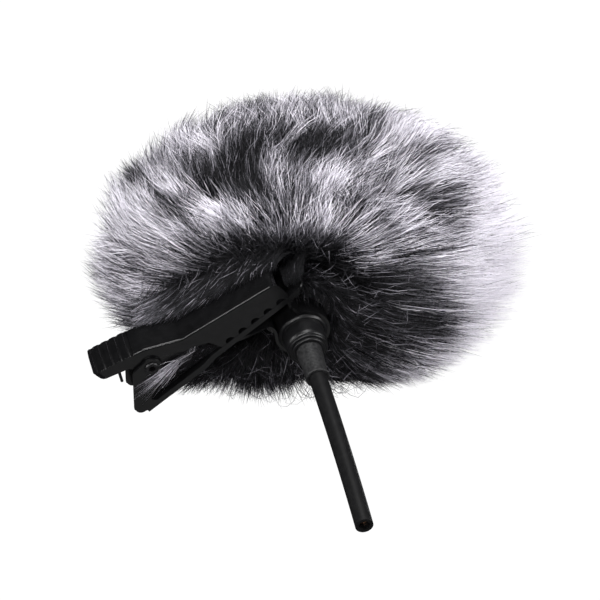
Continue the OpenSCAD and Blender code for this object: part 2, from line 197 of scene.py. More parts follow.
MAT = {
    "paint": surface("black_stoving_paint", (0.0018, 0.0018, 0.0020), (0.0036, 0.0036, 0.0039), 0.22, scale=700, bump_s=0.12, bump_d=0.00002, rough_var=0.05, spec=0.34),
    "blackened": surface("blackened_steel", (0.006, 0.006, 0.0065), (0.018, 0.018, 0.019), 0.3, metal=0.6, scale=1200),
    "spring": surface("dark_spring_wire", (0.03, 0.03, 0.032), (0.07, 0.07, 0.075), 0.32, metal=0.9, scale=2400),
    "mic": surface("satin_black_metal", (0.003, 0.003, 0.0033), (0.0055, 0.0055, 0.006), 0.36, spec=0.22, scale=1100, bump_s=0.3, bump_d=0.00002, rough_var=0.08),
    "relief": surface("moulded_black_rubber", (0.002, 0.002, 0.0022), (0.020, 0.020, 0.0208), 0.52, spec=0.24, scale=2600, bump_s=0.8, bump_d=0.00006, rough_var=0.12, fine=3000),
    "seal": surface("soft_black_rubber", (0.01, 0.01, 0.01), (0.02, 0.02, 0.02), 0.62, scale=1800),
    "cable": surface("matte_cable_jacket", (0.002, 0.002, 0.0022), (0.0042, 0.0042, 0.0045), 0.48, spec=0.17, scale=900, bump_s=0.4, bump_d=0.00003, rough_var=0.08, fine=3000),
    "mesh": surface("woven_steel_wire", (0.2, 0.2, 0.2), (0.5, 0.5, 0.5), 0.35, metal=0.9, scale=5000),
    "felt": surface("black_dust_felt", (0.01, 0.01, 0.01), (0.03, 0.03, 0.03), 0.9, scale=3000, bump_s=0.8, bump_d=0.0001),
    "can": surface("drawn_aluminium", (0.6, 0.6, 0.62), (0.75, 0.75, 0.77), 0.3, metal=1.0, scale=1600),
    "brass": surface("bright_brass", (0.6, 0.45, 0.2), (0.75, 0.6, 0.3), 0.3, metal=1.0, scale=1600),
    "copper": surface("bare_copper", (0.6, 0.3, 0.16), (0.78, 0.45, 0.28), 0.32, metal=1.0, scale=1800),
    "white": surface("natural_plastic", (0.68, 0.68, 0.66), (0.8, 0.8, 0.78), 0.45, scale=1500),
    "film": surface("metallised_film", (0.7, 0.68, 0.6), (0.85, 0.83, 0.75), 0.15, metal=1.0, scale=900),
    "chip": surface("moulded_package", (0.015, 0.015, 0.015), (0.03, 0.03, 0.03), 0.55, scale=2600),
    "board": surface("green_laminate", (0.02, 0.12, 0.05), (0.04, 0.2, 0.09), 0.4, scale=2500),
    "solder": surface("solder_metal", (0.5, 0.5, 0.52), (0.68, 0.68, 0.7), 0.28, metal=1.0, scale=2500),
    "foam": surface("open_cell_foam", (0.012, 0.012, 0.013), (0.045, 0.045, 0.047), 0.95, scale=1600, bump_s=1.0, bump_d=0.0004, fine=1700),
    "knit": knit("knitted_carrier", (0.006, 0.006, 0.007), (0.02, 0.02, 0.022), 0.0007),
    "elastic": knit("covered_elastic", (0.01, 0.01, 0.011), (0.04, 0.04, 0.042), 0.0004),
    "fur": fur_material(),
}
SLOT_MAT = {"black_paint": "paint", "blackened_steel": "blackened", "spring_wire": "spring", "mic_black": "mic", "relief_rubber": "relief",
            "seal_rubber": "seal", "steel_mesh": "mesh", "felt": "felt", "can_aluminium": "can", "brass_parts": "brass", "copper_parts": "copper",
            "film_metal": "film", "white_plastic": "white", "chip_black": "chip", "board_green": "board", "solder": "solder",
            "cable_black": "cable", "fur": "fur", "knit_black": "knit", "elastic": "elastic", "foam": "foam"}
slot_of = {s["node"]: s["material_slot"] for s in frame["record"]["subparts"]}


def dress(o, mat):
    o.data.materials.clear()
    o.data.materials.append(mat)


for name, o in N.items():
    dress(o, MAT[SLOT_MAT[slot_of[name]]])


# ------------------------------------------------------------------ metal edges
def soften(o, width, angle=32, segments=3):
    for p in o.data.polygons:
        p.use_smooth = True
    w = o.modifiers.new("weld", "WELD"); w.merge_threshold = 2e-6
    d = o.modifiers.new("flat", "DECIMATE"); d.decimate_type = "DISSOLVE"; d.angle_limit = math.radians(0.6)
    b = o.modifiers.new("edge", "BEVEL"); b.width = width * MM; b.segments = segments; b.limit_method = "ANGLE"
    b.angle_limit = math.radians(angle); b.harden_normals = True; b.use_clamp_overlap = True
    n = o.modifiers.new("normals", "WEIGHTED_NORMAL"); n.keep_sharp = False


def refold(name, body, line, width):
    """A copy of a stamped part whose outer bend along a line (x, y in mm) is properly rounded."""
    bm = bmesh.new()
    bm.from_mesh(N[name].data)
    bmesh.ops.remove_doubles(bm, verts=bm.verts, dist=2e-6)
    bmesh.ops.dissolve_limit(bm, angle_limit=math.radians(0.6), verts=bm.verts, edges=bm.edges)
    line = np.array(line)
    zmax = max(v.co.z for v in bm.verts)

    def on(v):
        if abs(abs(v.co.z) - zmax) > 2e-5:
            return False
        q = np.array([(v.co.x - AX[0]) / MM, (v.co.y - AX[1]) / MM])
        for a, b2 in zip(line[:-1], line[1:]):
            t = np.clip((q - a) @ (b2 - a) / ((b2 - a) @ (b2 - a)), 0, 1)
            if np.linalg.norm(a + t * (b2 - a) - q) < 0.02:
                return True
        return False

    short = [e for e in bm.edges if on(e.verts[0]) and on(e.verts[1]) and 0.2 * MM < e.calc_length() <= 1.0 * MM]
    if short:
        bmesh.ops.bevel(bm, geom=short, offset=0.16 * MM, offset_type="OFFSET", segments=4, profile=0.5, affect="EDGES", clamp_overlap=True)
    edges = [e for e in bm.edges if on(e.verts[0]) and on(e.verts[1]) and e.calc_length() > 1.0 * MM]
    bmesh.ops.bevel(bm, geom=edges, offset=width * MM, offset_type="OFFSET", segments=6, profile=0.5, affect="EDGES", clamp_overlap=False)
    me = bpy.data.meshes.new(name + "_bent")
    bm.to_mesh(me)
    bm.free()
    o = bpy.data.objects.new(name + "_bent", me)
    bpy.context.scene.collection.objects.link(o)
    dress(o, MAT[SLOT_MAT[slot_of[name]]])
    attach(o, body)
    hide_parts(name)
    print("refold", name, len(edges))
    return o


for name in ("lower_jaw", "mic_ring"):
    soften(N[name], 0.11)
soften(refold("upper_jaw_lever", "upper_jaw", [(-26.9, -20.8), (-18.7, -18.7), (-13.1, -15.5), (3.3, -13.05)], 0.34), 0.10)
for name in ("pivot_rivet",):
    soften(N[name], 0.08)
for name in ("rear_cap", "strain_relief", "mic_housing", "head_grille"):
    soften(N[name], 0.05, angle=25, segments=2)


# ------------------------------------------------------------------ mesh helper
def mesh_from(name, verts, faces_flat, starts, uv=None):
    me = bpy.data.meshes.new(name)
    me.vertices.add(len(verts))
    me.vertices.foreach_set("co", np.ascontiguousarray(verts + AX, np.float32).ravel())
    me.loops.add(len(faces_flat))
    me.loops.foreach_set("vertex_index", np.ascontiguousarray(faces_flat, np.int32))
    me.polygons.add(len(starts))
    me.polygons.foreach_set("loop_start", np.ascontiguousarray(starts, np.int32))
    me.update(calc_edges=True)
    me.polygons.foreach_set("use_smooth", np.ones(len(starts), bool))
    if uv is not None:
        layer = me.uv_layers.new(name="OFBake")
        layer.data.foreach_set("uv", np.ascontiguousarray(uv, np.float32).ravel())
    o = bpy.data.objects.new(name, me)
    bpy.context.scene.collection.objects.link(o)
    return o


def tube_path(name, path, ro, ri, sides=28):
    """A hollow tube along a path, open bore, closed as a solid ring at both ends."""
    path = np.array(path, float)
    n = len(path)
    tang = np.gradient(path, axis=0)
    tang /= np.linalg.norm(tang, axis=1)[:, None]
    ex = np.array([1.0, 0, 0])
    rings = []
    a = np.linspace(0, 2 * np.pi, sides, endpoint=False)
    for r in ([ro] if ri <= 0 else [ro, ri]):
        for p, t in zip(path, tang):
            x = ex - t * (ex @ t); x /= np.linalg.norm(x)
            y = np.cross(t, x)
            rings.append(p + r * (np.cos(a)[:, None] * x + np.sin(a)[:, None] * y))
    v = np.concatenate(rings)
    faces = []
    def idx(ring, k): return ring * sides + k % sides
    for i in range(n - 1):
        for k in range(sides):
            faces.append((idx(i, k), idx(i, k + 1), idx(i + 1, k + 1), idx(i + 1, k)))
            if ri > 0:
                faces.append((idx(n + i, k), idx(n + i + 1, k), idx(n + i + 1, k + 1), idx(n + i, k + 1)))
    if ri > 0:
        for k in range(sides):
            faces.append((idx(0, k + 1), idx(0, k), idx(n, k), idx(n, k + 1)))
            faces.append((idx(n - 1, k), idx(n - 1, k + 1), idx(2 * n - 1, k + 1), idx(2 * n - 1, k)))
    else:
        faces.append(tuple(idx(0, k) for k in range(sides - 1, -1, -1)))
        faces.append(tuple(idx(n - 1, k) for k in range(sides)))
    me = bpy.data.meshes.new(name)
    me.from_pydata([tuple(p) for p in v * MM + AX], [], faces)
    me.update()
    for p in me.polygons:
        p.use_smooth = len(p.vertices) == 4
    o = bpy.data.objects.new(name, me)
    bpy.context.scene.collection.objects.link(o)
    e = o.modifiers.new("rim", "EDGE_SPLIT"); e.split_angle = math.radians(50)
    bpy.context.view_layer.objects.active = o
    o.select_set(True)
    bpy.ops.object.modifier_apply(modifier="rim")
    o.select_set(False)
    return o


# ------------------------------------------------------------------ cable: one unbroken jacket, shield, insulation and wire
lo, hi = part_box("tail_jacket")
Z_END = lo.z / MM
Z_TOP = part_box("cable_jacket")[1].z / MM
Z_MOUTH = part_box("strain_relief")[0].z / MM


def cable_path(z0, z1, n):
    z = np.linspace(z0, z1, n)
    s = np.clip((Z_MOUTH - 4 - z) / (Z_MOUTH - 4 - Z_END), 0, 1)
    bow = -0.55 * s ** 2
    return np.stack([bow, np.zeros(n), z], 1)


R_CABLE = (hi.x - lo.x) / MM / 2
for nm, ro, ri, ztop, olds, mat in (
        ("cable_jacket_whole", R_CABLE, 0.92, Z_TOP, ("cable_jacket", "tail_jacket"), "cable"),
        ("cable_shield_whole", 0.84, 0.52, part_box("cable_shield")[1].z / MM, ("cable_shield", "tail_shield"), "copper"),
        ("cable_insulation_whole", 0.44, 0.21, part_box("cable_insulation")[1].z / MM, ("cable_insulation", "tail_insulation"), "white")):
    o = tube_path(nm, cable_path(ztop, Z_END + (0 if ro > 1 else 1.3), 90), ro, ri, 36 if ro > 1 else 20)
    dress(o, MAT[mat])
    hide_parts(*olds)
    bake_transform(o)
o = tube_path("cable_wire_tail", cable_path(Z_MOUTH + 0.2, Z_END + 1.3, 70), 0.17, 0, 14)
dress(o, MAT["copper"])
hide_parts("tail_wire")
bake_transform(o)

# ------------------------------------------------------------------ torsion spring: a real close wound wire with two legs
lo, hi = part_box("pivot_rivet")
PX, PY = ((lo.x + hi.x) / 2 - AX[0]) / MM, ((lo.y + hi.y) / 2 - AX[1]) / MM
R0, WIRE = 0.8 + 0.14 + 0.25, 0.5
pts = []
TURNS = 5.35
a0, a1 = math.radians(232), math.radians(232) + TURNS * 2 * math.pi
pts += [(-25.6, -14.9, -1.5), (-24.9, -16.3, -1.4), (-24.2, -17.5, -1.2), (-23.6, -18.35, -1.2), (-23.3, -18.55, -1.2), (-22.9, -18.3, -1.2), (-21.9, -17.3, -1.2)]
coil = [(PX + R0 * math.cos(a), PY + R0 * math.sin(a), -1.2 + 2.4 * (a - a0) / (a1 - a0)) for a in np.linspace(a0, a1, 170)]
pts += coil
pts += [(-21.9, -13.2, 1.2), (-23.3, -11.2, 1.2), (-24.2, -9.95, 1.2), (-24.6, -9.5, 1.2), (-25.0, -9.32, 1.2), (-25.7, -9.3, 1.2)]
o = tube_path("spring_wire_coil", pts, WIRE / 2 - 0.01, 0, 12)
dress(o, MAT["spring"])
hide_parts("torsion_spring")
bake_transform(o)

# ------------------------------------------------------------------ fur
ROT = math.radians(38.8)
H = np.array([math.cos(ROT), math.sin(ROT), 0.0])
G = np.array([math.sin(ROT), -math.cos(ROT), 0.0])
Zv = np.array([0.0, 0.0, 1.0])
BASIS = np.stack([H, G, Zv])                    # rows
C_ROOT, S_ROOT = np.array([1.1, 4.0, 24.0]), np.array([22.5, 15.5, 13.5])
C_TIP, S_TIP = np.array([2.5, 6.95, 20.9]), np.array([37.2, 28.0, 25.1])
TILT = math.radians(12.5)                       # the cover's long side hangs lower on the free side
H_T = H * math.cos(TILT) - Zv * math.sin(TILT)
Z_T = Zv * math.cos(TILT) + H * math.sin(TILT)
BASIS_T = np.stack([H_T, G, Z_T])


def fourier(seed, n, low, high):
    r = np.random.default_rng(seed)
    d = r.normal(size=(n, 3)); d /= np.linalg.norm(d, axis=1)[:, None]
    k = d * r.uniform(low, high, n)[:, None]
    ph = r.uniform(0, 2 * np.pi, n)
    def f(p):
        return np.sin(p @ k.T + ph).sum(1) / math.sqrt(n / 2)
    return f


def to_plane(p):
    """Row-frame millimetres to the flat layout plane that faces the viewer, in picture units."""
    return 300.5 + PLANE * (p @ VR), 326 - PLANE * (p @ VU)


# the coat's markings as soft spots: centre, half width, half height, lightness; the first, black spot is painted shade
# in the parting, where the hollow below shortens the fibres
SPOTS = [
    (237, 167, 18, 17, 0.0, 5), (249, 142, 10, 16, 0.04, 2), (290, 128, 18, 10, 0.16, 1), (318, 141, 22, 11, 0.04, 1.4), (361, 135, 13, 12, 0.14, 1.2),
    (285, 193, 12, 7, 0.22, 1.2), (257, 187, 8, 7, 0.26, 1), (204, 170, 13, 12, 0.24, 1.2), (168, 206, 11, 10, 0.34, 1.2), (128, 256, 14, 18, 0.42, 1.6), (374, 230, 14, 9, 0.36, 1),
    (456, 204, 12, 17, 0.26, 1.8), (420, 264, 20, 9, 0.22, 2.2), (460, 262, 9, 9, 0.40, 1.6), (427, 188, 12, 8, 0.30, 1.6), (426, 155, 10, 13, 0.40, 1.6), (444, 238, 8, 8, 0.45, 1),
    (352, 196, 12, 7, 0.42, 1), (300, 318, 100, 40, 0.0, 1.4), (236, 246, 18, 12, 0.10, 2), (382, 318, 44, 32, 0.02, 1.5), (416, 306, 24, 30, 0.04, 3), (430, 328, 20, 18, 0.08, 2),
    (202, 304, 30, 30, 0.03, 1), (186, 288, 20, 24, 0.10, 1.4), (300, 270, 44, 13, 0.02, 1.2), (250, 380, 90, 30, 0.0, 1.5), (372, 352, 36, 20, 0.04, 1.2),
    (200, 350, 60, 30, 0.0, 1), (340, 365, 44, 26, 0.0, 1), (390, 292, 24, 12, 0.04, 1.2), (152, 310, 16, 14, 0.10, 1.4), (150, 200, 8, 8, 0.5, 1),
    (209, 210, 12, 17, 0.84, 1.5), (160, 178, 15, 13, 0.78, 1), (133, 208, 18, 16, 0.80, 1), (150, 236, 18, 12, 0.76, 1), (180, 142, 22, 14, 0.66, 1),
    (213, 126, 18, 13, 0.62, 1), (270, 163, 9, 12, 0.56, 1.6), (272, 215, 12, 9, 0.74, 1.8), (312, 214, 24, 10, 0.84, 1.8), (240, 218, 12, 6, 0.6, 1), (335, 168, 16, 10, 0.62, 1.2),
    (308, 168, 10, 8, 0.56, 1), (384, 190, 20, 12, 0.80, 1.2), (398, 162, 16, 22, 0.72, 1), (418, 228, 13, 14, 0.78, 1.3), (374, 257, 15, 7, 0.70, 1.3),
    (408, 124, 30, 11, 0.88, 1.5), (462, 160, 22, 22, 0.82, 1), (500, 220, 22, 40, 1.0, 1.6), (494, 300, 24, 50, 1.0, 2.4), (462, 356, 24, 22, 1.0, 2.6), (424, 384, 24, 13, 0.96, 2.6), (476, 292, 12, 24, 0.86, 1.6),
    (128, 290, 28, 16, 0.66, 1.2), (98, 264, 14, 42, 0.74, 1), (172, 264, 15, 9, 0.62, 1), (227, 266, 9, 6, 0.40, 1), (344, 246, 18, 8, 0.62, 1.3), (302, 240, 22, 8, 0.62, 1.3),
    (300, 102, 40, 8, 0.60, 1), (255, 100, 30, 8, 0.56, 1), (110, 222, 16, 30, 0.80, 1), (350, 224, 13, 8, 0.5, 1), (350, 112, 26, 8, 0.6, 1), (270, 240, 14, 8, 0.60, 1.3),
]
n_mottle = fourier(11, 26, 0.10, 0.24)
n_fine = fourier(12, 30, 0.5, 1.1)
SP = np.array(SPOTS, float)


def tone_at(p):
    """Lightness 0..1 of the coat at points p (mm). The viewer's side follows the spots, the far side the same kind of mottle."""
    x, y = to_plane(p)
    num = np.full(len(p), 0.55 * 0.12)
    den = np.full(len(p), 0.12)
    for cx, cy, rx, ry, t, power in SP:
        w = power * np.exp(-(((x - cx) / rx) ** 2 + ((y - cy) / ry) ** 2) * 1.1)
        num += w * t
        den += w
    front = num / den
    back = np.clip(0.5 + 0.42 * n_mottle(p), 0, 1)
    low = np.clip((13 - p[:, 2]) / 9, 0, 1)
    back = back * (1 - 0.85 * low)
    face = ((p - C_TIP) @ VB) / 24.0
    k = np.clip((face + 0.28) / 0.3, 0, 1)
    k = k * k * (3 - 2 * k)
    return front * k + back * (1 - k)


def fib(n):
    i = np.arange(n) + 0.5
    z = 1 - 2 * i / n
    a = math.pi * (1 + 5 ** 0.5) * i
    r = np.sqrt(1 - z * z)
    return np.stack([r * np.cos(a), r * np.sin(a), z], 1)


def spread(n, s, seed):
    """n directions, spread evenly over the surface of an egg of half axes s."""
    r = np.random.default_rng(seed)
    u = fib(int(n * 2.6))
    u += r.normal(size=u.shape) * 0.012
    u /= np.linalg.norm(u, axis=1)[:, None]
    area = np.linalg.norm(u / s, axis=1) * np.prod(s)
    keep = r.uniform(size=len(u)) < area / area.max() * n / (len(u) * (area / area.max()).mean())
    return u[keep]


# the pile is combed away from the neck, all the way round
crown = np.array([0.0, 0.0, -1.0])


def keep_clear(p, strand_noise, low=3.35):
    """Keeps the fibres off the clip, the ring and the microphone: p is (n, k, 3) in mm."""
    x, y, z = p[..., 0], p[..., 1], p[..., 2]
    r = np.hypot(x, y)
    over = np.clip((x + 31) / 2, 0, 1) * np.clip((9.5 - x) / 2, 0, 1) * np.clip((3.0 - y) / 3, 0, 1)
    over = np.maximum(over, np.clip((6.8 - r) / 1.5, 0, 1))
    floor_z = low * over + (-1.2) * (1 - over) + strand_noise[:, None] * 0.9
    p[..., 2] = np.where(z < floor_z, floor_z + (z - floor_z) * 0.03, z)
    m = (r < 6.2) & (p[..., 2] < 9)
    f = np.where(m, 6.2 / np.maximum(r, 0.5), 1)
    p[..., 0] *= f
    p[..., 1] *= f
    return p


def fibres(name, P, radius, tone, body="windscreen", per=8800):
    """P: (n, 5, 3) mm curve points. Writes tapered three-sided closed fibres in pieces of at most `per`."""
    n, k, _ = P.shape
    made = []
    for c, i0 in enumerate(range(0, n, per)):
        q = P[i0:i0 + per]
        rr = radius[i0:i0 + per]
        tt = tone[i0:i0 + per]
        m = len(q)
        T = np.empty_like(q)
        T[:, 0] = q[:, 1] - q[:, 0]
        T[:, -1] = q[:, -1] - q[:, -2]
        T[:, 1:-1] = q[:, 2:] - q[:, :-2]
        T /= np.linalg.norm(T, axis=2)[..., None] + 1e-9
        r2 = np.random.default_rng(900 + c)
        side = r2.normal(size=(m, 1, 3))
        A = side - T * (side * T).sum(2)[..., None]
        A /= np.linalg.norm(A, axis=2)[..., None] + 1e-9
        B = np.cross(T, A)
        taper = np.array([0.85, 1.0, 0.98, 0.74, 0.0])[:k]
        V = np.empty((m, (k - 1) * 3 + 1, 3))
        for j in range(k - 1):
            for s in range(3):
                ang = 2 * math.pi * s / 3
                V[:, j * 3 + s] = q[:, j] + (A[:, j] * math.cos(ang) + B[:, j] * math.sin(ang)) * (rr * taper[j])[:, None]
        V[:, -1] = q[:, -1]
        pat, st, vv = [], [], []
        vs = np.linspace(0, 1, k)
        def add(face):
            st.append(len(pat)); pat.extend(face)
        add((2, 1, 0))
        for j in range(k - 2):
            for s in range(3):
                a, b2 = j * 3 + s, j * 3 + (s + 1) % 3
                add((a, b2, b2 + 3, a + 3))
        tip = (k - 1) * 3
        for s in range(3):
            add(((k - 2) * 3 + s, (k - 2) * 3 + (s + 1) % 3, tip))
        pat = np.array(pat); st = np.array(st)
        nv = tip + 1
        loops = (pat[None, :] + (np.arange(m) * nv)[:, None]).ravel()
        starts = (st[None, :] + (np.arange(m) * len(pat))[:, None]).ravel()
        vloop = vs[np.minimum(pat // 3, k - 1)]
        vloop = np.where(pat == tip, 1.0, vloop)
        uv = np.empty((m, len(pat), 2), np.float32)
        uv[..., 0] = np.clip(tt, 0.004, 0.996)[:, None]
        uv[..., 1] = np.clip(vloop, 0.004, 0.996)[None, :]
        o = mesh_from(f"{name}_{c + 1:02d}", V.reshape(-1, 3) * MM, loops, starts, uv.reshape(-1, 2))
        dress(o, MAT["fur"])
        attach(o, body)
        made.append(o)
    return made


def curves(root, ctrl, tip, wave, wob, seed):
    r = np.random.default_rng(seed)
    s = np.array([0, 0.28, 0.56, 0.8, 1.0])[None, :, None]
    P = (1 - s) ** 2 * root[:, None] + 2 * s * (1 - s) * ctrl[:, None] + s * s * tip[:, None]
    d1 = r.normal(size=(len(root), 1, 3))
    ph = r.uniform(0, 6.28, (len(root), 1, 1))
    fr = r.uniform(3.0, 7.0, (len(root), 1, 1))
    return P + d1 * wave * s * np.sin(fr * s + ph) + r.normal(size=P.shape) * wob * s


n_main = 104000
u = spread(n_main, S_ROOT, 5)
n = len(u)
root = C_ROOT + (u * S_ROOT) @ BASIS
nrm = (u / S_ROOT) @ BASIS
nrm /= np.linalg.norm(nrm, axis=1)[:, None]


def comb(uu):
    f = uu - crown
    f -= uu * (f * uu).sum(1)[:, None]
    return f / np.maximum(np.linalg.norm(f, axis=1)[:, None], 0.35)


# locks: each fibre leans towards the tip of its lock
from mathutils import kdtree
n_lock = 2600
cu = spread(n_lock, S_ROOT, 6)
nl = len(cu)
kd = kdtree.KDTree(nl)
for i, c in enumerate(cu * S_ROOT):
    kd.insert(Vector(c), i)
kd.balance()
ur = u * S_ROOT + RNG.normal(size=u.shape) * 0.22
lock = np.array([kd.find(Vector(q))[1] for q in ur])
w1, w2, w3 = fourier(31, 14, 0.12, 0.3), fourier(32, 14, 0.12, 0.3), fourier(33, 14, 0.12, 0.3)
f1, f2, f3 = fourier(34, 14, 0.5, 0.9), fourier(35, 14, 0.5, 0.9), fourier(36, 14, 0.5, 0.9)


def sway(q):
    """Slow drift of the comb direction over the cover, with a finer one on top."""
    return np.stack([w1(q), w2(q), w3(q)], 1) * 0.085 + np.stack([f1(q), f2(q), f3(q)], 1) * 0.07


lock_dir = RNG.normal(size=(nl, 3)) * 0.10 + sway(cu * S_ROOT)
lock_len = RNG.uniform(0.90, 1.03, nl)
lock_pull = RNG.uniform(0.2, 0.6, nl)


def tip_of(uu, lean_vec, length):
    d = uu + lean_vec
    d /= np.linalg.norm(d, axis=1)[:, None]
    d = (d @ BASIS) @ BASIS_T.T
    return C_TIP + (d * S_TIP * length[:, None]) @ BASIS_T


lock_tip = tip_of(cu, comb(cu) * 0.34 + lock_dir, lock_len)
lean = RNG.uniform(0.22, 0.44, n)[:, None]
length = RNG.uniform(0.80, 1.0, n) * (0.45 + 0.55 * lock_len[lock])
tip = tip_of(u, comb(u) * lean + lock_dir[lock] * 0.8 + RNG.normal(size=u.shape) * 0.06, length)
pull = (lock_pull[lock] * RNG.uniform(0.3, 1.0, n))[:, None]
tip = tip * (1 - pull) + lock_tip[lock] * pull
dist = np.linalg.norm(tip - root, axis=1)[:, None]
ctrl = root + nrm * dist * 0.40 + (tip - root) * 0.14
P = curves(root, ctrl, tip, 0.36, 0.11, 7)
hx, hy = to_plane(P[:, 3])
# the parting: fibres shortened around the first spot in SPOTS, whose black there is painted shade
hollow = np.exp(-(((hx - 239) / 19) ** 2 + ((hy - 166) / 19) ** 2)) * ((((P[:, 3] - C_TIP) @ VB) > 0) * 1.0)
ex, ey = to_plane(P[:, 4])
trim = np.exp(-(((ex - 335) / 62) ** 2 + ((ey - 405) / 17) ** 2))
grow = np.exp(-(((ex - 180) / 30) ** 2 + ((ey - 378) / 15) ** 2))
P = root[:, None] + (P - root[:, None]) * (1 - 0.24 * hollow - 0.26 * trim + 0.24 * grow)[:, None, None]

# no fibres grow from inside the neck
rr = np.hypot(root[:, 0], root[:, 1])
ok = ~((rr < 6.3) & (root[:, 2] < 20))
P, lockk = P[ok], lock[ok]
P = keep_clear(P, RNG.uniform(0, 1, len(P)))

lock_shift = RNG.normal(size=nl) * 0.17


def colour(P, shift):
    mid = P[:, 3] * 0.70 + P[:, 4] * 0.30
    t = tone_at(mid)
    mid_tone = np.clip(t * 4, 0, 1) * np.clip((1 - t) * 4, 0.25, 1)
    t = t * 1.06 + (shift + 0.10 * n_fine(mid) + RNG.normal(size=len(t)) * 0.23) * (0.25 + 0.75 * mid_tone)
    flip = RNG.uniform(size=len(t))
    t = np.where((flip < 0.36 * (1.15 - t)) & (t > 0.3), t * 0.15, t)
    t = np.where((flip > 0.86) & (t < 0.28), RNG.uniform(0.26, 0.62, len(t)), t)
    return np.clip(t, 0, 1)


main = fibres("fur", P, RNG.uniform(0.040, 0.074, len(P)) * (1.0), colour(P, lock_shift[lockk]))

# dense fibres around the neck
n_neck = 6500
ang = RNG.uniform(0, 2 * np.pi, n_neck)
rz = RNG.uniform(5.6, 10.5, n_neck)
radial = np.stack([np.cos(ang), np.sin(ang), np.zeros(n_neck)], 1)
root = radial * 6.03 + np.stack([np.zeros(n_neck), np.zeros(n_neck), rz], 1)
ln = RNG.uniform(5.5, 11.0, n_neck)[:, None]
tip = root + radial * ln + np.array([0, 0, 1.0]) * (RNG.uniform(-5.0, 0.0, n_neck)[:, None]) + RNG.normal(size=root.shape) * 0.9
ctrl = root + radial * ln * 0.5 + np.array([0, 0, 0.6])
P = keep_clear(curves(root, ctrl, tip, 0.3, 0.08, 8), RNG.uniform(0, 1, n_neck))
neck_y = to_plane(P[:, 4])[1]
neck_t = RNG.normal(size=n_neck) * 0.03 + 0.03
neck_t += np.clip((250 - neck_y) / 26, 0, 1) * (0.62 * tone_at(P[:, 4]) + RNG.normal(size=n_neck) * 0.14)
fibres("fur_neck", P, RNG.uniform(0.05, 0.085, n_neck), np.clip(neck_t, 0, 1))

# fibres that hang down beside the ring of the clip, on its free side
n_side = 2400
ang = RNG.uniform(-1.18, 2.0, n_side)
radial = np.stack([np.cos(ang), np.sin(ang), np.zeros(n_side)], 1)
zz = np.stack([np.zeros(n_side), np.zeros(n_side), np.ones(n_side)], 1)
root = radial * 6.05 + zz * RNG.uniform(5.6, 8.0, n_side)[:, None]
tip = radial * RNG.uniform(5.2, 11.0, n_side)[:, None] + zz * RNG.uniform(-1.45, 2.4, n_side)[:, None] + RNG.normal(size=root.shape) * np.array([0.7, 0.7, 0.12])
rt = np.hypot(tip[:, 0], tip[:, 1])
tip[:, :2] *= (np.maximum(rt, 4.75) / rt)[:, None]
ctrl = radial * 6.6 + zz * RNG.uniform(2.2, 4.4, n_side)[:, None]
P = curves(root, ctrl, tip, 0.15, 0.04, 12)
near_arm = (P[..., 0] < 6.9) & (P[..., 1] < -7.6) & (P[..., 2] < 3.1)
P[..., 1] = np.where(near_arm, -7.6 + (P[..., 1] + 7.6) * 0.05, P[..., 1])
side_t = np.where(RNG.uniform(size=n_side) > 0.91, RNG.uniform(0.25, 0.5, n_side), np.clip(RNG.normal(size=n_side) * 0.05 + 0.04, 0, 1))
fibres("fur_low", P, RNG.uniform(0.04, 0.068, n_side), side_t)

# fibres pressed over the far edge of the lever
def lever_top(x):
    return np.interp(x, [-26.9, -18.7, -13.1, 3.3, 4.1], [-20.8, -18.7, -15.5, -13.05, -12.3])


n_over = 2400
x1 = RNG.uniform(-19.0, 5.2, n_over)
reach = np.interp(x1, [-20, -15, -9, -3, 2, 4, 6], [2.3, 1.5, 0.75, 0.35, 0.0, -0.3, -0.6])
z1 = reach + np.abs(RNG.normal(size=n_over)) * 1.9 - 0.45 * RNG.uniform(0, 1, n_over)
run = RNG.uniform(4.5, 10.5, n_over) * np.interp(x1, [-19, -8, 0, 5], [1.0, 0.85, 0.5, 0.32])
turn = RNG.normal(size=n_over) * 0.42
x0 = x1 + run * np.cos(turn + 0.25)
tip = np.stack([x1, lever_top(x1) - 0.12 - np.abs(RNG.normal(size=n_over)) * 0.55, z1], 1)
root = np.stack([x0, lever_top(x0) + RNG.uniform(0.8, 4.5, n_over), z1 + 1.2 + run * np.abs(np.sin(turn + 0.35)) + RNG.uniform(0.6, 2.6, n_over)], 1)
root[:, 2] = np.maximum(root[:, 2], 4.2)
xc = x1 * 0.45 + x0 * 0.55
ctrl = np.stack([xc + RNG.normal(size=n_over) * 0.7, lever_top(xc) - RNG.uniform(0.1, 1.1, n_over), np.maximum(z1 + RNG.uniform(0.6, 2.6, n_over), 3.5)], 1)
P = curves(root, ctrl, tip, 0.22, 0.05, 13)
top_y = lever_top(P[..., 0]) - 0.10
clear = (P[..., 2] < 3.2) & (P[..., 1] > top_y) & (P[..., 0] < 4.6)
P[..., 1] = np.where(clear, top_y - 0.02, P[..., 1])
over_x, over_y = to_plane(P[:, 3])
over_t = np.clip(np.interp(over_x, [112, 140, 165, 200, 262, 300], [0.60, 0.40, 0.20, 0.06, 0.01, 0.0]) + RNG.normal(size=n_over) * 0.20 * np.interp(over_x, [112, 165, 260], [1.2, 0.8, 0.4]), 0, 1)
over_t = np.where(RNG.uniform(size=n_over) > 0.94, RNG.uniform(0.35, 0.7, n_over), over_t)
fibres("fur_over", P, RNG.uniform(0.032, 0.058, n_over), over_t)

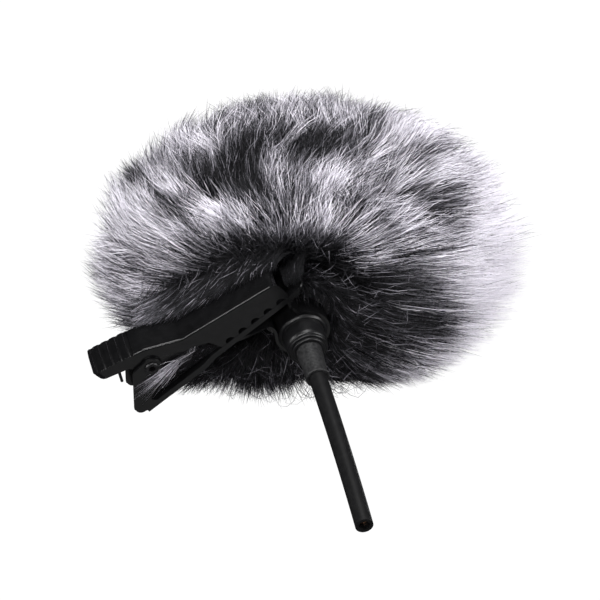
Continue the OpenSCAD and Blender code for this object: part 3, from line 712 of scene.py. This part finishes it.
# fibres hanging over the far half of the lower jaw's front end
n_fr = 1700
x1 = RNG.uniform(1.6, 7.6, n_fr)
z1 = np.interp(x1, [1.6, 4.0, 5.6, 7.0, 7.6], [-0.6, -1.7, -2.5, -2.75, -2.2]) + np.abs(RNG.normal(size=n_fr)) * 1.7
tip = np.stack([x1, -9.15 - RNG.uniform(0.05, 1.1, n_fr), z1], 1)
root = np.stack([x1 + RNG.uniform(-1.0, 2.6, n_fr), -8.2 + RNG.uniform(-0.6, 2.4, n_fr), RNG.uniform(4.0, 5.8, n_fr)], 1)
ctrl = np.stack([x1 + RNG.uniform(-0.7, 1.6, n_fr), -9.5 - RNG.uniform(0.1, 0.9, n_fr), np.maximum(z1 + RNG.uniform(0.8, 2.2, n_fr), 1.6)], 1)
P = curves(root, ctrl, tip, 0.18, 0.04, 21)
clear = (P[..., 2] < 3.3) & (P[..., 1] > -9.14)
P[..., 1] = np.where(clear, -9.16, P[..., 1])
hit = (P[..., 0] < 4.5) & (P[..., 1] < -8.9) & (P[..., 2] < 3.1)
P[..., 0] = np.where(hit, 4.5 + (4.5 - P[..., 0]) * 0.06, P[..., 0])
fibres("fur_front", P, RNG.uniform(0.024, 0.044, n_fr), np.where(RNG.uniform(size=n_fr) > 0.96, RNG.uniform(0.25, 0.5, n_fr), np.clip(RNG.normal(size=n_fr) * 0.03, 0, 1)))

# stray fibres over the dark underside, lying in every direction
n_st = 1500
su = spread(n_st * 3, S_TIP, 9)
sp_ = C_TIP + (su * S_TIP * 0.9) @ BASIS
sx, sy = to_plane(sp_)
m = (((sp_ - C_TIP) @ VB) > 2) & (sy > 232) & (sx > 165) & (sx < 450)
sp_, su = sp_[m], su[m]
t1 = RNG.normal(size=sp_.shape)
nn = (su / S_TIP) @ BASIS; nn /= np.linalg.norm(nn, axis=1)[:, None]
t1 -= nn * (t1 * nn).sum(1)[:, None]
t1 /= np.linalg.norm(t1, axis=1)[:, None]
L = RNG.uniform(2.0, 6.0, len(sp_))[:, None]
root = sp_ - t1 * L * 0.5 - nn * 1.4
tip = sp_ + t1 * L * 0.5 + nn * RNG.uniform(-0.6, 0.5, len(sp_))[:, None]
ctrl = sp_ + RNG.normal(size=sp_.shape) * 1.1 + nn * 0.6
P = keep_clear(curves(root, ctrl, tip, 0.3, 0.05, 10), RNG.uniform(0, 1, len(sp_)))
fibres("fur_stray", P, RNG.uniform(0.022, 0.040, len(sp_)), RNG.uniform(0.26, 0.66, len(sp_)))

# fibres caught between the jaws: a dark mass in the opening and a pale fan lying over the near ear
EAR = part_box("lower_jaw")[0].z / MM            # outer face of the near ear (negative)
n_d = 3400
x0 = RNG.uniform(-24.4, -9.9, n_d)
low_y = -9.2 - RNG.uniform(0, 1, n_d) ** 1.5 * np.interp(x0, [-24.4, -20, -16, -12, -9.9], [0.9, 2.0, 2.8, 1.8, 0.5])
zc = RNG.uniform(-2.3, 2.2, n_d)
dirx = RNG.normal(size=n_d) * 1.3 - 0.5
dirz = RNG.normal(size=n_d) * 0.9
root = np.stack([x0 - dirx * 0.5, low_y + 0.2, zc - dirz * 0.5], 1)
tip = np.stack([x0 + dirx * 0.5, low_y - RNG.uniform(0.0, 0.5, n_d), zc + dirz * 0.5], 1)
ctrl = (root + tip) / 2 + RNG.normal(size=root.shape) * 0.3
P = curves(root, ctrl, tip, 0.10, 0.03, 14)
P[..., 1] = np.minimum(P[..., 1], -9.1)
P[..., 2] = np.clip(P[..., 2], -2.28, 2.28)
P[..., 0] = np.clip(P[..., 0], -25.4, -9.7)
fibres("fur_caught", P, RNG.uniform(0.035, 0.058, n_d), np.where(RNG.uniform(size=n_d) > 0.90, RNG.uniform(0.3, 0.55, n_d), np.clip(RNG.normal(size=n_d) * 0.06 + 0.04, 0, 1)), "clip_base")

n_t = 88
k = RNG.uniform(-1, 1, (n_t, 1)) * RNG.uniform(0.35, 1, (n_t, 1))
TZ = EAR - 0.08
src = np.array([-15.2, -12.9, 0.0]) + RNG.normal(size=(n_t, 3)) * np.array([0.55, 0.28, 0.0])
src[:, 2] = -3.02 - np.abs(RNG.normal(size=n_t)) * 0.08
end = np.array([-24.1, -12.4, 0.0]) + k * np.array([-0.9, 2.7, 0.0]) + RNG.normal(size=(n_t, 3)) * np.array([1.7, 0.45, 0.0])
end[:, 2] = TZ - np.abs(RNG.normal(size=n_t)) * 0.10
P = np.empty((n_t, 5, 3))
P[:, 0] = src + np.array([1.9, 1.5, 2.4]) + RNG.normal(size=(n_t, 3)) * 0.15
P[:, 1] = src + np.array([0.7, 0.9, 0.1])
P[:, 2] = src * 0.84 + end * 0.16
P[:, 3] = src * 0.42 + end * 0.58
P[:, 4] = end
P[:, 2:4, :2] += RNG.normal(size=(n_t, 2, 2)) * 0.16
P[:, 2, 2] = TZ - 0.02
P[:, 3, 2] = TZ - 0.12
P[:, 4, 2] = end[:, 2]
fibres("fur_tuft", P, RNG.uniform(0.022, 0.036, n_t), np.clip(RNG.normal(size=n_t) * 0.27 + 0.55, 0.03, 0.95), "clip_base")

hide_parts("fur_pile")

# ------------------------------------------------------------------ stage, light, camera
scene = bpy.context.scene
scene.view_settings.view_transform = "Standard"
scene.view_settings.look = "None"
bpy.ops.mesh.primitive_plane_add(size=3.0, location=(0, 0, -0.062))
floor = bpy.context.object
floor.name = "floor"
fm, nt, b = new_mat("pale_floor")
nt.nodes.remove(b)
out = nt.nodes["Material Output"]
dif = node(nt, "ShaderNodeBsdfDiffuse")
dif.inputs["Color"].default_value = (0.9, 0.9, 0.9, 1)
pale = node(nt, "ShaderNodeEmission")
pale.inputs["Strength"].default_value = 0.9
trn = node(nt, "ShaderNodeBsdfTransparent")
geo = node(nt, "ShaderNodeNewGeometry")
mx = node(nt, "ShaderNodeMixShader")
away = node(nt, "ShaderNodeVectorMath")
away.operation = "LENGTH"
fade = node(nt, "ShaderNodeMapRange")
fade.interpolation_type = "SMOOTHSTEP"
fade.inputs["From Min"].default_value = 0.10
fade.inputs["From Max"].default_value = 0.42
mf = node(nt, "ShaderNodeMixShader")
nt.links.new(geo.outputs["Position"], away.inputs[0])
nt.links.new(away.outputs["Value"], fade.inputs["Value"])
nt.links.new(fade.outputs["Result"], mf.inputs[0])
nt.links.new(dif.outputs[0], mf.inputs[1])
nt.links.new(pale.outputs[0], mf.inputs[2])
nt.links.new(geo.outputs["Backfacing"], mx.inputs[0])
nt.links.new(mf.outputs[0], mx.inputs[1])
nt.links.new(trn.outputs[0], mx.inputs[2])
nt.links.new(mx.outputs[0], out.inputs["Surface"])
floor.data.materials.append(fm)
floor.visible_shadow = False
floor.visible_diffuse = False
floor.visible_glossy = False
floor.visible_transmission = False
floor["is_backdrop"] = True

world = bpy.data.worlds.new("studio")
scene.world = world
world.use_nodes = True
wt = world.node_tree
bg = wt.nodes["Background"]
bg.inputs["Color"].default_value = (1, 1, 1, 1)
bg.inputs["Strength"].default_value = 1.05
bg2 = wt.nodes.new("ShaderNodeBackground")
bg2.inputs["Color"].default_value = (0.96, 0.97, 1.0, 1)
bg2.inputs["Strength"].default_value = 0.05
lp = wt.nodes.new("ShaderNodeLightPath")
mxs = wt.nodes.new("ShaderNodeMixShader")
wt.links.new(lp.outputs["Is Camera Ray"], mxs.inputs[0])
wt.links.new(bg2.outputs[0], mxs.inputs[1])
wt.links.new(bg.outputs[0], mxs.inputs[2])
wt.links.new(mxs.outputs[0], wt.nodes["World Output"].inputs["Surface"])

CEN = np.array([0.0, 1.0, 12.0]) * MM + AX


def area(name, r, u_, b_, dist, size, power, size_y=None, color=(1, 1, 1)):
    d = VR * r + VU * u_ + VB * b_
    d /= np.linalg.norm(d)
    l = bpy.data.lights.new(name, "AREA")
    l.shape = "RECTANGLE"
    l.size = size
    l.size_y = size_y or size
    l.energy = power
    l.color = color
    o = bpy.data.objects.new(name, l)
    o.location = CEN + d * dist
    o.rotation_euler = Vector(-d).to_track_quat("-Z", "Y").to_euler()
    bpy.context.scene.collection.objects.link(o)
    return o


area("key_fold", -0.20, -0.04, 0.97, 0.7, 0.44, 3.8, 0.10)
area("top_soft", 0.05, 0.90, 0.62, 0.6, 0.30, 4.6)
area("left_soft", -0.98, 0.05, 0.55, 0.6, 0.30, 3.0)
area("right_soft", 0.95, 0.10, 0.50, 0.6, 0.32, 3.8)
area("below_soft", 0.30, -0.95, 0.10, 0.7, 0.40, 0.16)
area("back_soft", 0.0, 0.35, -0.95, 0.6, 0.45, 3.0)

cam = bpy.data.cameras.new("camera")
co = bpy.data.objects.new("camera", cam)
bpy.context.scene.collection.objects.link(co)
DIST = 1.2
aim = (VU * (26 / PLANE) - VR * (0.5 / PLANE)) * MM + AX
R3 = Matrix([[VR[i], VU[i], VB[i]] for i in range(3)])
co.matrix_world = Matrix.Translation(Vector(aim + VB * DIST)) @ R3.to_4x4()
cam.sensor_width = 36
cam.lens = 36 * DIST / (600 / PLANE * MM)
cam.clip_start = 0.05
cam.clip_end = 50
scene.camera = co

VIS_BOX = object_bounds()


def plain(b):
    if isinstance(b, dict):
        return {k: plain(v) for k, v in b.items()}
    try:
        return [plain(v) for v in b]
    except TypeError:
        return float(b)


{"cad": plain(CAD_BOX), "visual": plain(VIS_BOX)}
